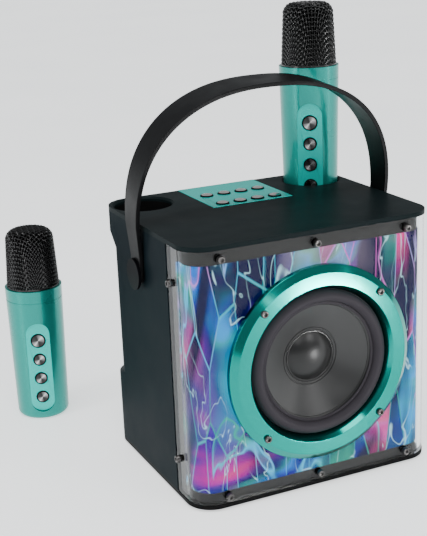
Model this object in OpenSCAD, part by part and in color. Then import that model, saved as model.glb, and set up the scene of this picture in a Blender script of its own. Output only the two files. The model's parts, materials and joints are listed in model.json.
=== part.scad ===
// Portable karaoke speaker with a clear front, a strap handle and two cordless microphones.
// Millimetres. +Z is up and the front faces -Y. The origin is on the floor, under the
// middle of the cabinet.

/* [Cabinet] */
// Width of the cabinet
cab_w = 200; // [190:1:220]
// Depth of the cabinet at its deepest part
cab_d = 165; // [160:1:185]
// Height of the cabinet above the floor
cab_h = 198; // [192:1:215]
// Thickness of the moulded shell
wall_t = 3; // [2:0.5:4]
// Thickness of the top cover
top_t = 3.5; // [3:0.5:4.5]
// Thickness of the bottom plate
bottom_t = 3; // [2:0.5:4]
// Plan radius of the two front corners
front_r = 20; // [16:1:24]
// Plan radius of the two back corners
back_r = 21; // [18:1:25]
// Depth of the clear front part, where the shell begins
front_depth = 36.5; // [34:0.5:42]
// How far the shell laps over the wings of the front frame
frame_lap = 6; // [4:1:10]
// How far the waist at the back is set in
waist_in = 11; // [6:0.5:13]
// How far the foot at the back is set in
foot_in = 1.5; // [0.5:0.5:5]
// Height of the foot at the back, up to its slope
foot_top = 61; // [50:1:70]
// Height of the slope between foot and waist
foot_slope = 4; // [3:1:14]
// Height of the slope between waist and upper block
upper_slope = 11; // [8:1:20]

/* [Base] */
// Height of the rubber base ring under the bottom plate
base_h = 2; // [1.5:0.5:4]
// Distance from the cabinet's outline to the base ring
base_inset = 4; // [2:0.5:8]
// Width of the rubber band of the base ring
base_band = 9; // [6:1:12]

/* [Microphone cups] */
// Depth of a cup below the top
cup_depth = 21.5; // [18:0.5:28]
// Wall and floor of a cup
cup_wall = 1.2; // [1:0.1:2]
// Gap round a microphone in the mouth of its cup
cup_gap = 0.45; // [0.4:0.05:1]
// Chamfer round the mouth of a cup
cup_chamfer = 1.5; // [0.5:0.1:2]
// Shell left outside a cup at the sides and at the back
corner_wall = 1.6; // [1.2:0.1:2.5]
// How far the rounded bottom of a cup reaches below the upper block
cup_tuck = 1.5; // [0:0.5:2]

/* [Front] */
// Distance from the cabinet's outline to the face of the lens
lens_inset = 0.5; // [0.3:0.1:1]
// Thickness of the lens
lens_t = 3; // [2:0.5:4]
// Air between lens and picture
picture_gap = 1.5; // [1:0.5:3]
// Thickness of the picture panel
picture_t = 0.8; // [0.5:0.1:1.2]
// Thickness of the front frame
frame_t = 3; // [2:0.5:4]
// Height of the plain band above the picture
band_top = 11.5; // [10:0.5:16]
// Height of the plain band below the picture
band_bottom = 8; // [7:0.5:12]
// Depth of the plain band at each side of the picture
band_side = 9; // [7:0.5:12]
// Distance of the corner screws from the side of the cabinet
lens_screw_in = 25; // [24:1:40]
// Distance from the middle height to the side screws
lens_screw_z = 67; // [50:1:75]
// Side of a square window for the lights
window_side = 20; // [14:1:20]

/* [Fasteners] */
// Diameter of the front screws
screw_d = 3; // [2.5:0.5:4]
// Diameter of their heads
screw_head_d = 5.5; // [5:0.5:7]
// Height of their heads
screw_head_h = 3; // [2:0.5:4]
// Diameter of the bosses behind the lens
boss_d = 6; // [5:0.5:8]

/* [Trim ring] */
// Outer radius of the trim ring
ring_r = 73.5; // [73:0.5:78]
// Radius of the circle of its screws
ring_screw_r = 66.5; // [66:0.5:67]
// Width of the chamfer at its outer edge
ring_chamfer = 5; // [3:0.5:6]
// Depth of that chamfer
ring_chamfer_d = 4; // [2:0.5:4.5]
// Width of the cone at its inner edge
ring_cone = 4.2; // [3:0.2:5]
// How far its face stands in front of the lens
ring_proud = 8; // [6:0.5:10]
// How deep its screw heads sit
ring_sink = 1; // [0.5:0.1:1.5]

/* [Woofer] */
// How far the woofer's axis lies below the middle of the cabinet
woofer_drop = 0.8; // [0:0.2:2]
// Radius of the cone at its front
cone_r = 46; // [44:0.5:47]
// Depth of the cone for each millimetre of radius
cone_slope = 0.5; // [0.4:0.05:0.6]
// Width of the roll of the surround
roll_w = 9; // [7:0.5:10]
// Radius of the dust cap
cap_r = 19.5; // [16:0.5:21]
// Height of the dust cap
cap_h = 6; // [4:0.5:8]
// Outer radius of the voice coil
coil_r = 13; // [11:0.5:15]
// Thickness of the basket's sheet metal
basket_t = 2; // [1.5:0.5:2.5]
// Depth of the basket behind its flange
basket_d = 42; // [38:1:50]
// Outer radius of the magnet
magnet_r = 36; // [30:1:42]
// Thickness of the magnet with its plates
magnet_t = 22; // [18:1:28]

/* [Handle] */
// Height of the handle's pivot
pivot_z = 160; // [140:0.5:164]
// Distance of the pivot behind the middle
pivot_y = 4.5; // [0:0.5:12]
// Thickness of the washers between cabinet and strap
strap_gap = 0.5; // [0.4:0.1:1]
// Thickness of the strap
strap_t = 3.2; // [2.6:0.2:5]
// Width of the strap at the pivot
strap_end_w = 16; // [14:1:20]
// Width of the strap over the top
strap_top_w = 32; // [24:1:34]
// Height of the legs above the pivot
strap_leg = 39; // [30:1:45]
// How far the legs lean out between the pivot and the arch
leg_out = 2.8; // [1:0.1:5]
// Height of the arch above the legs
arch_h = 93; // [85:1:105]
// Power of the arch: 2 is an ellipse and more is squarer
arch_power = 2.35; // [2:0.01:3]
// Lean of the handle to the front
handle_lean = 4.5; // [0:0.5:10]
// Diameter of the pivot pin
pin_d = 8; // [6:0.5:10]
// Diameter of the head of the pivot pin
pin_head_d = 23.6; // [20:0.2:25]
// Thickness of that head
pin_head_t = 2; // [1.5:0.5:4]

/* [Control panel] */
// Width of the control panel
panel_w = 68; // [66:1:76]
// Depth of the control panel, from the back edge
panel_d = 68.3; // [64:0.5:72]
// Thickness of the control panel
panel_t = 1.8; // [1.6:0.2:2.4]
// Depth of its recess in the top cover
panel_recess = 1.5; // [1:0.1:1.6]
// Diameter of a top button
key_d = 10.3; // [9:0.1:11.5]
// Height of a top button above the panel
key_proud = 1.9; // [1.5:0.1:2.5]
// Travel of a top button
key_travel = 0.8; // [0.5:0.1:1]
// Distance between neighbouring buttons
key_pitch_x = 15; // [13.5:0.5:16]
// Distance between the two rows
key_pitch_y = 29; // [20:1:32]
// Distance from the panel's front edge to the front row
key_front = 8; // [7:0.5:12]

/* [Rear] */
// Width of the rear cover
rear_w = 110; // [90:1:120]
// Height of the rear cover
rear_h = 75; // [60:1:80]
// Thickness of the rear cover
rear_t = 1.5; // [1:0.1:2]
// Width of the ledge that carries the rear cover
rear_ledge = 6; // [5:0.5:8]
// Travel of the power switch
switch_travel = 4; // [2:0.5:6]

/* [Microphone] */
// Diameter at the bottom of the body
mic_foot_d = 43.5; // [41:0.1:45]
// Diameter at the top of the body
mic_top_d = 48; // [46:0.5:52]
// Height of the body
mic_body_h = 115.4; // [110:0.5:130]
// Radius of the bottom edge
mic_edge_r = 4.5; // [3:0.5:6]
// Wall of the body
mic_wall = 2.4; // [2:0.1:3]
// Diameter of the grille at its foot
grille_d = 44.5; // [43:0.5:46]
// Diameter of the grille below its rounded top
grille_top_d = 40.6; // [38:0.2:43]
// Height of the grille
grille_h = 49.5; // [44:0.5:56]
// Radius of the rounded top
grille_edge_r = 9; // [6:0.5:12]
// Thickness of the grille
grille_t = 1.2; // [0.8:0.1:1.6]
// Width of the button panel
mic_panel_w = 20; // [18:0.5:20]
// Height of the button panel
mic_panel_h = 80; // [76:1:86]
// Thickness of the button panel
mic_panel_t = 2.2; // [1.8:0.1:2.6]
// How far the flat button panel is sunk into the round body
mic_panel_sink = 2.1; // [2:0.1:2.3]
// Height of the first button above the bottom
mic_key_z = 71.7; // [70:0.1:74]
// Distance between the buttons
mic_key_pitch = 17.03; // [16:0.01:18]
// Diameter of the first button
mic_main_key_d = 12; // [10:0.1:13]
// Diameter of the other buttons
mic_key_d = 10.4; // [9:0.1:12]
// Height of a button above its panel
mic_key_proud = 0.8; // [0.6:0.1:1]
// Travel of a button
mic_key_travel = 0.6; // [0.4:0.1:0.8]
// How far the held microphone is turned from facing the front
held_turn = -29.2; // [-60:0.1:60]
// How far the standing microphone is turned from facing the front
standing_turn = -15.6; // [-60:0.1:60]
// Distance of the standing microphone to the left of the cabinet's middle
standing_x = -138.5; // [-170:0.5:-130]
// Distance of the standing microphone behind the cabinet's middle
standing_y = 160; // [120:1:200]

/* [Fits] */
// Gap round a piece that is laid or screwed in place
loose = 0.2; // [0.1:0.05:0.4]
// Radial gap of the strap on its pin
running = 0.05; // [0.02:0.01:0.1]
// Radial gap round a screw
screw_gap = 0.1; // [0.05:0.05:0.3]

/* [Hidden] */
$fn = 64;
eps = 0.01;
far = 300;
mid_z = (cab_h + base_h) / 2;
woofer_z = mid_z - woofer_drop;
front_y = -cab_d / 2;
back_y = cab_d / 2;
shell_y = front_y + front_depth;
plate_z = base_h + bottom_t;
roof_z = cab_h - top_t;

// Microphone body as a cone
function mic_r(z) = (mic_foot_d + (mic_top_d - mic_foot_d) * z / mic_body_h) / 2;

// Cups, in the back corners
cup_r = mic_r(cup_depth) + cup_gap;
cup_edge_r = mic_edge_r + cup_gap;
cup_pocket_r = cup_r + cup_wall + screw_gap;
cup_x = cab_w / 2 - cup_pocket_r - corner_wall;
cup_y = back_y - cup_pocket_r - corner_wall;
cup_floor_z = cab_h - cup_depth;
upper_z = cup_floor_z + cup_tuck;
waist_z = upper_z - upper_slope;
waist_y = back_y - waist_in;

// Layers of the front, as distances from the cabinet's outline
lens_back = lens_inset + lens_t;
picture_face = lens_back + picture_gap;
frame_face = picture_face + picture_t;
frame_back = frame_face + frame_t;
picture_z0 = plate_z + band_bottom;
picture_z1 = roof_z - band_top;
lens_screw_x = cab_w / 2 - lens_screw_in;
lens_screw_y = shell_y - band_side / 2 - 0.5;
lens_screw_zs = [plate_z + band_bottom * 2 / 3, roof_z - band_top / 2 - 0.75];

// Windows for the lights: how far they stay from the rounded corners and from the picture's edges
window_corner_gap = 2;
window_edge_gap = 9;
window_x = cab_w / 2 - front_r - window_corner_gap - window_side / 2;
window_z = mid_z - picture_z0 - window_edge_gap - window_side / 2;
led_side = 3;
led_h = 1.2;
light_board_t = 1.2;
light_board_edge = 2;

// Woofer, as depths behind the face of its flange
roll_r1 = cone_r - 0.5;
roll_r2 = roll_r1 + roll_w;
roll_t = 0.8;
roll_foot_w = 3;
roll_foot_t = 0.6;
flange_y = front_y;
flange_t = 2;
lip_w = 3.5;
lip_t = 0.8;
ring_in_r = roll_r2 + 0.3;
flange_r = ring_screw_r - screw_d / 2 - screw_gap - 2.1;
flange_gap = 0.5;
lip_gap = 0.4;
basket_r = roll_r2 + 2;
frame_hole_r = basket_r + 0.5;
collar_r = ring_screw_r + screw_head_d / 2 + 0.75;
front_hole_r = collar_r + 0.5;
collar_y = flange_y + flange_t;
frame_y = front_y + frame_face;
cone_t = 0.8;
coil_t = 0.7;
coil_gap = 0.6;
cone_d = (cone_r - coil_r) * cone_slope;
cap_d = (cone_r - cap_r) * cone_slope;
spider_d = (cone_d + basket_d) / 2;
spider_t = 0.8;
plate_t = 5;
magnet_gap = 6;
vent_w = 18;
vent_front = 3;
vent_back = 9;
ring_face_y = front_y - ring_proud;
ring_back_y = front_y + lens_inset - 0.3;

// Handle
strap_x = cab_w / 2 + strap_gap + loose;
arch_x = strap_x + leg_out;
flat_leg = pin_head_d / 2 + 1;
pin_x = strap_x + strap_t + loose;
pin_nut_d = pin_d + 6;
pin_nut_t = 4.5;
pin_end = 1.5;
spacer_d = strap_end_w;

// Top buttons and the board under them
panel_top_z = cab_h - panel_recess + panel_t;
panel_front_y = back_y - panel_d;
key_rim = 1;
key_rim_t = 1.5;
key_rim_z = roof_z - 0.3;
key_stem_h = 2.2;
key_stem_r = 2;
board_t = 1.6;
board_edge_x = 10;
board_edge_y = 12;
board_post_in = 4;
switch_side = 6;
switch_h = 3.5;
switch_top_z = key_rim_z - key_rim_t - key_stem_h - key_travel - loose;
board_z = switch_top_z - switch_h - board_t;
board_post_r = 3;
key_ys = [panel_front_y + key_front, panel_front_y + key_front + key_pitch_y];

// Rear cover
rear_z = (waist_z + foot_top + foot_slope) / 2;
rear_screw_r = 1.25;
rear_screw_l = 8;
rear_head_r = 2.3;
rear_head_t = 1.2;

// Insides of the microphones
mic_web_z = mic_body_h - 3.4;
mic_web_t = 2;
collar_h = 10.4;
groove = 0.3;
mic_floor = 2.5;
mic_board_y = 12;
mic_board_w = 2 * sqrt(pow(mic_r(mic_floor) - mic_wall - 0.4, 2) - pow(mic_board_y, 2));
mic_rim = 0.8;
mic_rim_t = 1.2;
mic_stem_h = 1.2;
mic_key_edge = 0.4;
mic_panel_end = 15.7;
mic_panel_z = mic_key_z + mic_panel_end - mic_panel_h / 2;
mic_rim_gap = 0.35;
mic_switch_side = 5;
mic_board_h = mic_body_h * 0.85;
capsule_r = 13;
capsule_h = 14;
mic_taper = atan((mic_top_d - mic_foot_d) / 2 / mic_body_h);

// Places of a microphone's buttons and of their rims behind the panel
function mic_key_at(i) = mic_key_z - i * mic_key_pitch;
function mic_key_dia(i) = i == 0 ? mic_main_key_d : mic_key_d;
function mic_panel_y(z) = mic_r(z) - mic_panel_sink;
function mic_rim_y(i) = mic_panel_y(mic_key_at(i)) - mic_panel_t - mic_rim_gap;
mic_switch_y = mic_rim_y(3) - mic_rim_t - mic_stem_h - mic_key_travel - loose;

// ---------- shared shapes ----------

// Plan of the cabinet, inset all round, with its back moved in by set_in
module cab_plan(inset, set_in = 0) {
    hw = cab_w / 2 - inset;
    y0 = front_y + inset;
    y1 = back_y - inset - set_in;
    fr = front_r - inset;
    br = back_r - inset;
    translate([-hw, y0 + fr]) square([2 * hw, y1 - y0 - fr - br]);
    translate([fr - hw, y0]) square([2 * (hw - fr), fr]);
    translate([br - hw, y1 - br]) square([2 * (hw - br), br]);
    for (s = [-1, 1]) {
        translate([s * (hw - fr), y0 + fr]) circle(fr);
        translate([s * (hw - br), y1 - br]) circle(br);
    }
}

// Wall that follows the cabinet's plan between two insets, in front of the plane y = to_y
module front_wall(outer, inner, to_y, z0, z1) {
    translate([0, 0, z0]) linear_extrude(z1 - z0) intersection() {
        difference() {
            cab_plan(outer);
            cab_plan(inner);
        }
        translate([-far / 2, to_y - far]) square([far, far]);
    }
}

// Turns a shape made along +Z so that it runs into the cabinet from the plane y, on the woofer's axis
module on_woofer_axis(y) {
    translate([0, y, woofer_z]) rotate([-90, 0, 0]) children();
}

// Ring or disc on the woofer's axis, from depth d0 to d1 behind the flange's face
module woofer_ring(r_out, r_in, d0, d1) {
    on_woofer_axis(flange_y + d0) difference() {
        cylinder(h = d1 - d0, r = r_out);
        if (r_in > 0) translate([0, 0, -1]) cylinder(h = d1 - d0 + 2, r = r_in);
    }
}

// Copies a shape made along +Z to each screw of the lens, with +Z pointing outwards from the outline
module at_lens_screws() {
    for (x = [-lens_screw_x, 0, lens_screw_x], z = lens_screw_zs)
        translate([x, front_y, z]) rotate([90, 0, 0]) children();
    for (s = [-1, 1], z = [mid_z - lens_screw_z, mid_z + lens_screw_z])
        translate([s * cab_w / 2, lens_screw_y, z]) rotate([0, s * 90, 0]) children();
}

// Copies a shape made along +Z to each screw of the trim ring, with +Z pointing to the front
module at_ring_screws() {
    for (a = [45:90:315])
        translate([ring_screw_r * cos(a), 0, woofer_z + ring_screw_r * sin(a)])
            rotate([90, 0, 0]) children();
}

// Socket-head screw whose head stands on z = 0, with its shank down to z = -length
module socket_screw(length) {
    difference() {
        union() {
            cylinder(h = screw_head_h, d = screw_head_d);
            translate([0, 0, -length]) cylinder(h = length + 1, d = screw_d);
        }
        translate([0, 0, screw_head_h / 2]) cylinder(h = screw_head_h, d = screw_d, $fn = 6);
    }
}

// Round cup shape with a rounded bottom edge, standing on z = 0
module cup_form(r, h, edge) {
    rotate_extrude() {
        square([r - edge, h]);
        translate([0, edge]) square([r, h - edge]);
        intersection() {
            translate([r - edge, edge]) circle(edge);
            square([r, h]);
        }
    }
}

module at_cup(side) {
    translate([side * cup_x, cup_y, cup_floor_z]) children();
}

// ---------- cabinet ----------

module base_ring() {
    color("#17181a") linear_extrude(base_h) difference() {
        cab_plan(base_inset);
        cab_plan(base_inset + base_band);
    }
}

// Places of the screws that hold the bottom plate
post_in = base_inset + base_band + 7;
post_behind = 14;
bottom_screw_x = cab_w / 2 - post_in;
bottom_screw_ys = [shell_y + post_behind, back_y - foot_in - post_in];
bottom_screw_r = 1.5;
bottom_screw_reach = 15;
bottom_head_r = 3;
post_r = 4.5;
post_h = 24;
rib_t = 2.5;

// Main board on its standoffs, with its processor and its row of plugs
main_board_w = 100;
main_board_d = 70;
main_board_y = 20;
standoff_in = 5;
standoff_r = 3;
standoff_h = 6;
chip_x = -18;
chip_side = 24;
chip_h = 2.6;
plugs_x = 25;
plugs_w = 30;
plugs_d = 14;
plugs_h = 9;

module at_bottom_screws() {
    for (s = [-1, 1], y = bottom_screw_ys) translate([s * bottom_screw_x, y, 0]) children();
}

module at_standoffs() {
    for (x = [-1, 1], y = [-1, 1])
        translate([x * (main_board_w / 2 - standoff_in), main_board_y, plate_z])
            translate([0, y * (main_board_d / 2 - standoff_in), 0]) children();
}

module bottom_plate() {
    color("#1d2226") {
        difference() {
            translate([0, 0, base_h]) linear_extrude(bottom_t) cab_plan(0, foot_in);
            at_bottom_screws() translate([0, 0, -1]) cylinder(h = far, r = bottom_screw_r + screw_gap);
            at_bottom_screws() translate([0, 0, base_h - 1])
                cylinder(h = 1 + bottom_t / 2, r = bottom_head_r + loose);
        }
        at_standoffs() cylinder(h = standoff_h, r = standoff_r);
    }
}

module bottom_screws() {
    color("#8a8f94") at_bottom_screws() {
        translate([0, 0, base_h + loose]) cylinder(h = bottom_t / 2 - loose, r = bottom_head_r);
        translate([0, 0, base_h + loose])
            cylinder(h = bottom_t - loose + bottom_screw_reach, r = bottom_screw_r);
    }
}

// Layer of the shell from z0 to z1, inset all round, with its back moved in by set_in
module shell_layer(inset, set_in, z0, z1) {
    translate([0, 0, z0]) linear_extrude(z1 - z0) intersection() {
        cab_plan(inset, set_in);
        translate([-far / 2, shell_y]) square([far, far]);
    }
}

// Slope of the shell's back between two heights
module shell_slope(inset, set_in0, z0, set_in1, z1) {
    hull() {
        shell_layer(inset, set_in0, z0 - eps, z0);
        shell_layer(inset, set_in1, z1, z1 + eps);
    }
}

module shell_block(inset) {
    shell_layer(inset, foot_in, plate_z, foot_top);
    shell_slope(inset, foot_in, foot_top, waist_in, foot_top + foot_slope);
    shell_layer(inset, waist_in, foot_top + foot_slope, waist_z);
    shell_slope(inset, waist_in, waist_z, 0, upper_z);
    shell_layer(inset, 0, upper_z, roof_z);
}

// Where the rear cover lies: a block across the back wall of the waist
module rear_block(shrink, depth) {
    translate([-rear_w / 2 + shrink, waist_y - depth, rear_z - rear_h / 2 + shrink])
        cube([rear_w - 2 * shrink, depth + 1, rear_h - 2 * shrink]);
}

module at_rear_screws() {
    for (x = [-1, 1], z = [-1, 1])
        translate([x * (rear_w - rear_ledge) / 2, waist_y, rear_z + z * (rear_h - rear_ledge) / 2])
            rotate([-90, 0, 0]) children();
}

module cabinet_shell() {
    color("#20282e") difference() {
        union() {
            difference() {
                shell_block(0);
                intersection() {
                    shell_block(wall_t);
                    translate([-far / 2, shell_y + frame_lap, 0]) cube([far, far, far]);
                }
                translate([0, 0, plate_z - 1]) linear_extrude(2) intersection() {
                    cab_plan(wall_t);
                    translate([-far / 2, shell_y + frame_lap])
                        square([far, back_y - foot_in - wall_t - shell_y - frame_lap]);
                }
                translate([frame_face - loose - cab_w / 2, shell_y - 1, plate_z - 1])
                    cube([cab_w - 2 * (frame_face - loose), frame_lap + 2, far]);
            }
            // posts for the screws of the bottom plate, each with a rib to the wall
            intersection() {
                at_bottom_screws() {
                    translate([0, 0, plate_z]) cylinder(h = post_h, r = post_r);
                    translate([0, 0, plate_z]) for (a = [0, 180]) rotate([0, 0, a])
                        translate([0, -rib_t / 2, 0]) cube([post_in, rib_t, post_h]);
                }
                translate([(wall_t - cab_w) / 2, (wall_t - cab_d) / 2, 0])
                    cube([cab_w - wall_t, cab_d - wall_t, far]);
            }
        }
        at_bottom_screws()
            cylinder(h = plate_z + bottom_screw_reach + 1, r = bottom_screw_r + screw_gap);
        for (s = [-1, 1]) at_cup(s) translate([0, 0, -cup_wall - screw_gap])
            cup_form(cup_pocket_r, far, cup_edge_r + cup_wall);
        rear_block(0, rear_t);
        rear_block(rear_ledge, wall_t + 1);
        at_rear_screws() translate([0, 0, -far / 2]) cylinder(h = far, r = rear_screw_r + screw_gap);
        translate([-far / 2, pivot_y, pivot_z]) rotate([0, 90, 0])
            cylinder(h = far, d = pin_d + 2 * running);
    }
}

module top_cover() {
    color("#262e33") {
        difference() {
            translate([0, 0, roof_z]) linear_extrude(top_t) cab_plan(0);
            for (s = [-1, 1]) at_cup(s) {
                cylinder(h = far, r = cup_r);
                translate([0, 0, cup_depth - cup_chamfer])
                    cylinder(h = cup_chamfer + 1, r1 = cup_r, r2 = cup_r + cup_chamfer + 1);
            }
            translate([-panel_w / 2 - loose, panel_front_y - loose, cab_h - panel_recess])
                cube([panel_w + 2 * loose, far, far]);
            at_keys() cylinder(h = far, d = key_d + 2 * loose);
        }
        at_board_posts() translate([0, 0, board_z + board_t])
            cylinder(h = roof_z - board_z - board_t + eps, r = board_post_r);
    }
}

module mic_cup(side) {
    color("#1b2024") at_cup(side) difference() {
        translate([0, 0, -cup_wall])
            cup_form(cup_r + cup_wall, cup_depth + cup_wall - top_t, cup_edge_r + cup_wall);
        cup_form(cup_r, far, cup_edge_r);
    }
}

module left_mic_cup() { mic_cup(-1); }
module right_mic_cup() { mic_cup(1); }

// ---------- front ----------

module at_windows() {
    for (x = [-1, 1], z = [-1, 1])
        translate([x * window_x, front_y + frame_back, mid_z + z * window_z]) children();
}

module front_frame() {
    color("#2a2f33") difference() {
        union() {
            front_wall(frame_face, frame_back, shell_y + frame_lap, plate_z, roof_z);
            on_woofer_axis(collar_y) cylinder(h = frame_y - collar_y + 1, r = collar_r);
        }
        on_woofer_axis(front_y - 1) cylinder(h = frame_back + 2, r = frame_hole_r);
        at_ring_screws() translate([0, 0, -far / 2]) cylinder(h = far, d = screw_d + 2 * screw_gap);
        at_lens_screws() translate([0, 0, -frame_back - 1])
            cylinder(h = far, d = screw_d + 2 * screw_gap);
        at_windows() translate([-window_side / 2, -frame_t - 1, -window_side / 2])
            cube([window_side, frame_t + 2, window_side]);
    }
}

module graphic_panel() {
    color("#5a3fd0") difference() {
        front_wall(picture_face, frame_face, shell_y - band_side, picture_z0, picture_z1);
        on_woofer_axis(front_y - 1) cylinder(h = far / 3, r = front_hole_r);
        // notches where it reaches the spacers of the lens
        at_lens_screws() translate([0, 0, -frame_back])
            cylinder(h = frame_back, d = boss_d + 2 * loose);
    }
}

module lens() {
    color("#cfd8e0", 0.3) difference() {
        front_wall(lens_inset, lens_back, shell_y - loose, plate_z + loose, roof_z - loose);
        on_woofer_axis(front_y - 1) cylinder(h = far / 3, r = front_hole_r);
        at_lens_screws() translate([0, 0, -lens_back - 1])
            cylinder(h = far, d = screw_d + 2 * screw_gap);
    }
}

module lens_spacers() {
    color("#101214") at_lens_screws() translate([0, 0, -frame_face]) difference() {
        cylinder(h = frame_face - lens_back, d = boss_d);
        translate([0, 0, -1]) cylinder(h = far, d = screw_d + 2 * screw_gap);
    }
}

module lens_screws() {
    color("#6c7278") at_lens_screws() translate([0, 0, -lens_inset])
        socket_screw(frame_back - lens_inset + 2);
}

module trim_ring() {
    color("#1aa59c") difference() {
        translate([0, 0, woofer_z]) rotate([90, 0, 0]) rotate_extrude() polygon([
            [ring_in_r, -front_y + lip_t + loose], [ring_in_r + ring_cone, -ring_face_y],
            [ring_r - ring_chamfer, -ring_face_y], [ring_r, -ring_face_y - ring_chamfer_d],
            [ring_r, -ring_back_y], [collar_r, -ring_back_y], [collar_r, -collar_y],
            [flange_r + flange_gap, -collar_y], [flange_r + flange_gap, -flange_y],
            [roll_r2 + lip_w + lip_gap, -flange_y],
            [roll_r2 + lip_w + lip_gap, -front_y + lip_t + loose],
        ]);
        at_ring_screws() cylinder(h = far, d = screw_d + 2 * screw_gap);
        at_ring_screws() translate([0, 0, -ring_face_y - ring_sink])
            cylinder(h = far, d = screw_head_d + 2 * loose);
    }
}

module ring_screws() {
    color("#6c7278") at_ring_screws() translate([0, 0, -ring_face_y - ring_sink])
        socket_screw(frame_back + ring_proud + 2);
}

// ---------- woofer ----------

module driver_basket() {
    r_back = magnet_r - 2;
    straight = frame_back + 2;
    color("#3a3e42") difference() {
        on_woofer_axis(flange_y) rotate_extrude() polygon([
            [basket_r - basket_t - 1, 0], [flange_r, 0], [flange_r, flange_t],
            [basket_r, flange_t], [basket_r, straight], [r_back, basket_d],
            [r_back, basket_d + basket_t], [coil_r + coil_gap, basket_d + basket_t],
            [coil_r + coil_gap, basket_d], [r_back - basket_t, basket_d],
            [basket_r - basket_t - 1, straight],
        ]);
        // windows between the arms
        for (a = [0:60:300]) on_woofer_axis(flange_y + straight + vent_front) rotate([0, 0, a])
            translate([r_back - 2 * basket_t, -vent_w / 2, 0])
                cube([basket_r, vent_w, basket_d - straight - vent_front - vent_back]);
    }
}

module driver_magnet() {
    d0 = basket_d + basket_t;
    d1 = d0 + magnet_t;
    pole_r = coil_r - coil_t - coil_gap;
    color("#2b2d30") {
        woofer_ring(magnet_r, coil_r + coil_gap, d0, d0 + plate_t);
        woofer_ring(magnet_r, coil_r + magnet_gap, d0 + plate_t, d1 - plate_t);
        woofer_ring(magnet_r, 0, d1 - plate_t, d1);
        woofer_ring(pole_r, 0, d0, d1 - plate_t + eps);
    }
}

module driver_surround() {
    mid = (roll_r1 + roll_r2) / 2;
    color("#1c1d1f") on_woofer_axis(flange_y) rotate_extrude() {
        difference() {
            translate([mid, -lip_t]) circle(roll_w / 2 + eps);
            translate([mid, -lip_t]) circle(roll_w / 2 - roll_t);
            translate([mid - roll_w, -lip_t]) square([2 * roll_w, roll_w]);
        }
        translate([roll_r2 - roll_t, -lip_t]) square([lip_w + roll_t, lip_t]);
        translate([roll_r1 + roll_t - roll_foot_w, -lip_t - roll_foot_t / 2])
            square([roll_foot_w, roll_foot_t]);
    }
}

module driver_spider() {
    r_out = basket_r - basket_t - 1 - (spider_d - frame_back - 2)
        * (basket_r - magnet_r + 1) / (basket_d - frame_back - 2);
    color("#b98f52") woofer_ring(r_out - 0.4, coil_r + 0.3, spider_d, spider_d + spider_t);
}

module driver_cone() {
    color("#232426") on_woofer_axis(flange_y) rotate_extrude() polygon([
        [cone_r, 0], [coil_r, cone_d], [coil_r, cone_d + cone_t], [cone_r, cone_t],
    ]);
}

module dust_cap() {
    rim = 1;
    ball = (cap_r * cap_r + cap_h * cap_h) / (2 * cap_h);
    color("#1a1a1b") on_woofer_axis(flange_y + cap_d - loose) rotate_extrude() intersection() {
        difference() {
            translate([0, ball - cap_h]) circle(ball, $fn = 128);
            translate([0, ball - cap_h + rim]) circle(ball, $fn = 128);
        }
        translate([0, -cap_h - 1]) square([cap_r, cap_h + 1]);
    }
}

module voice_coil() {
    color("#b87333") woofer_ring(coil_r, coil_r - coil_t, cone_d, basket_d + basket_t + plate_t);
}

// ---------- handle ----------

// Half of a squarish arch, from the right side over the top to the left
function arch(a, b, steps) = [
    for (i = [0:steps])
        let (t = 180 * i / steps, c = cos(t))
        [a * sign(c) * pow(abs(c), 2 / arch_power), b * pow(sin(t), 2 / arch_power)]
];
function reversed(list) = [for (i = [len(list) - 1:-1:0]) list[i]];

module at_pivot() {
    translate([0, pivot_y, pivot_z]) children();
}

// Strap from the front, set off outwards by t, from the right pivot over the top to the left one
function strap_line(t) = concat(
    [[strap_x + t, -strap_end_w], [strap_x + t, flat_leg]],
    [for (q = arch(arch_x + t, arch_h + t, 72)) [q[0], q[1] + strap_leg]],
    [[-strap_x - t, flat_leg], [-strap_x - t, -strap_end_w]]
);

module handle_strap() {
    top = strap_leg + arch_h + strap_t;
    color("#141618") at_pivot() rotate([handle_lean, 0, 0]) difference() {
        intersection() {
            translate([0, strap_top_w / 2, 0]) rotate([90, 0, 0]) linear_extrude(strap_top_w)
                polygon(concat(strap_line(strap_t), reversed(strap_line(0))));
            // from the side it widens from the pivot to the top
            translate([-far / 2, 0, 0]) rotate([90, 0, 90]) linear_extrude(far) {
                circle(d = strap_end_w);
                polygon([
                    [-strap_end_w / 2, 0], [strap_end_w / 2, 0], [strap_top_w / 2, top - strap_t],
                    [strap_top_w / 2, top + 1], [-strap_top_w / 2, top + 1],
                    [-strap_top_w / 2, top - strap_t],
                ]);
            }
        }
        translate([-far / 2, 0, 0]) rotate([0, 90, 0]) cylinder(h = far, d = pin_d + 2 * running);
    }
}

module handle_pins() {
    inside = cab_w / 2 - wall_t;
    color("#111315") for (s = [-1, 1]) at_pivot() rotate([0, s * 90, 0]) {
        translate([0, 0, inside - pin_nut_t - pin_end])
            cylinder(h = pin_x - inside + pin_nut_t + pin_end + eps, d = pin_d);
        translate([0, 0, pin_x]) cylinder(h = pin_head_t, d = pin_head_d);
        translate([0, 0, inside - pin_nut_t]) cylinder(h = pin_nut_t, d = pin_nut_d, $fn = 6);
    }
}

module handle_spacers() {
    color("#111315") for (s = [-1, 1]) at_pivot() rotate([0, s * 90, 0])
        translate([0, 0, cab_w / 2]) difference() {
            cylinder(h = strap_gap, d = spacer_d);
            translate([0, 0, -1]) cylinder(h = strap_gap + 2, d = pin_d + 2 * running);
        }
}

// ---------- control panel ----------

// Place of a top button: column 0 to 3 from the left, row 0 at the front
module at_key(column, row) {
    translate([(column - 1.5) * key_pitch_x, key_ys[row], 0]) children();
}

module at_keys() {
    for (column = [0:3], row = [0:1]) at_key(column, row) children();
}

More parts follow.
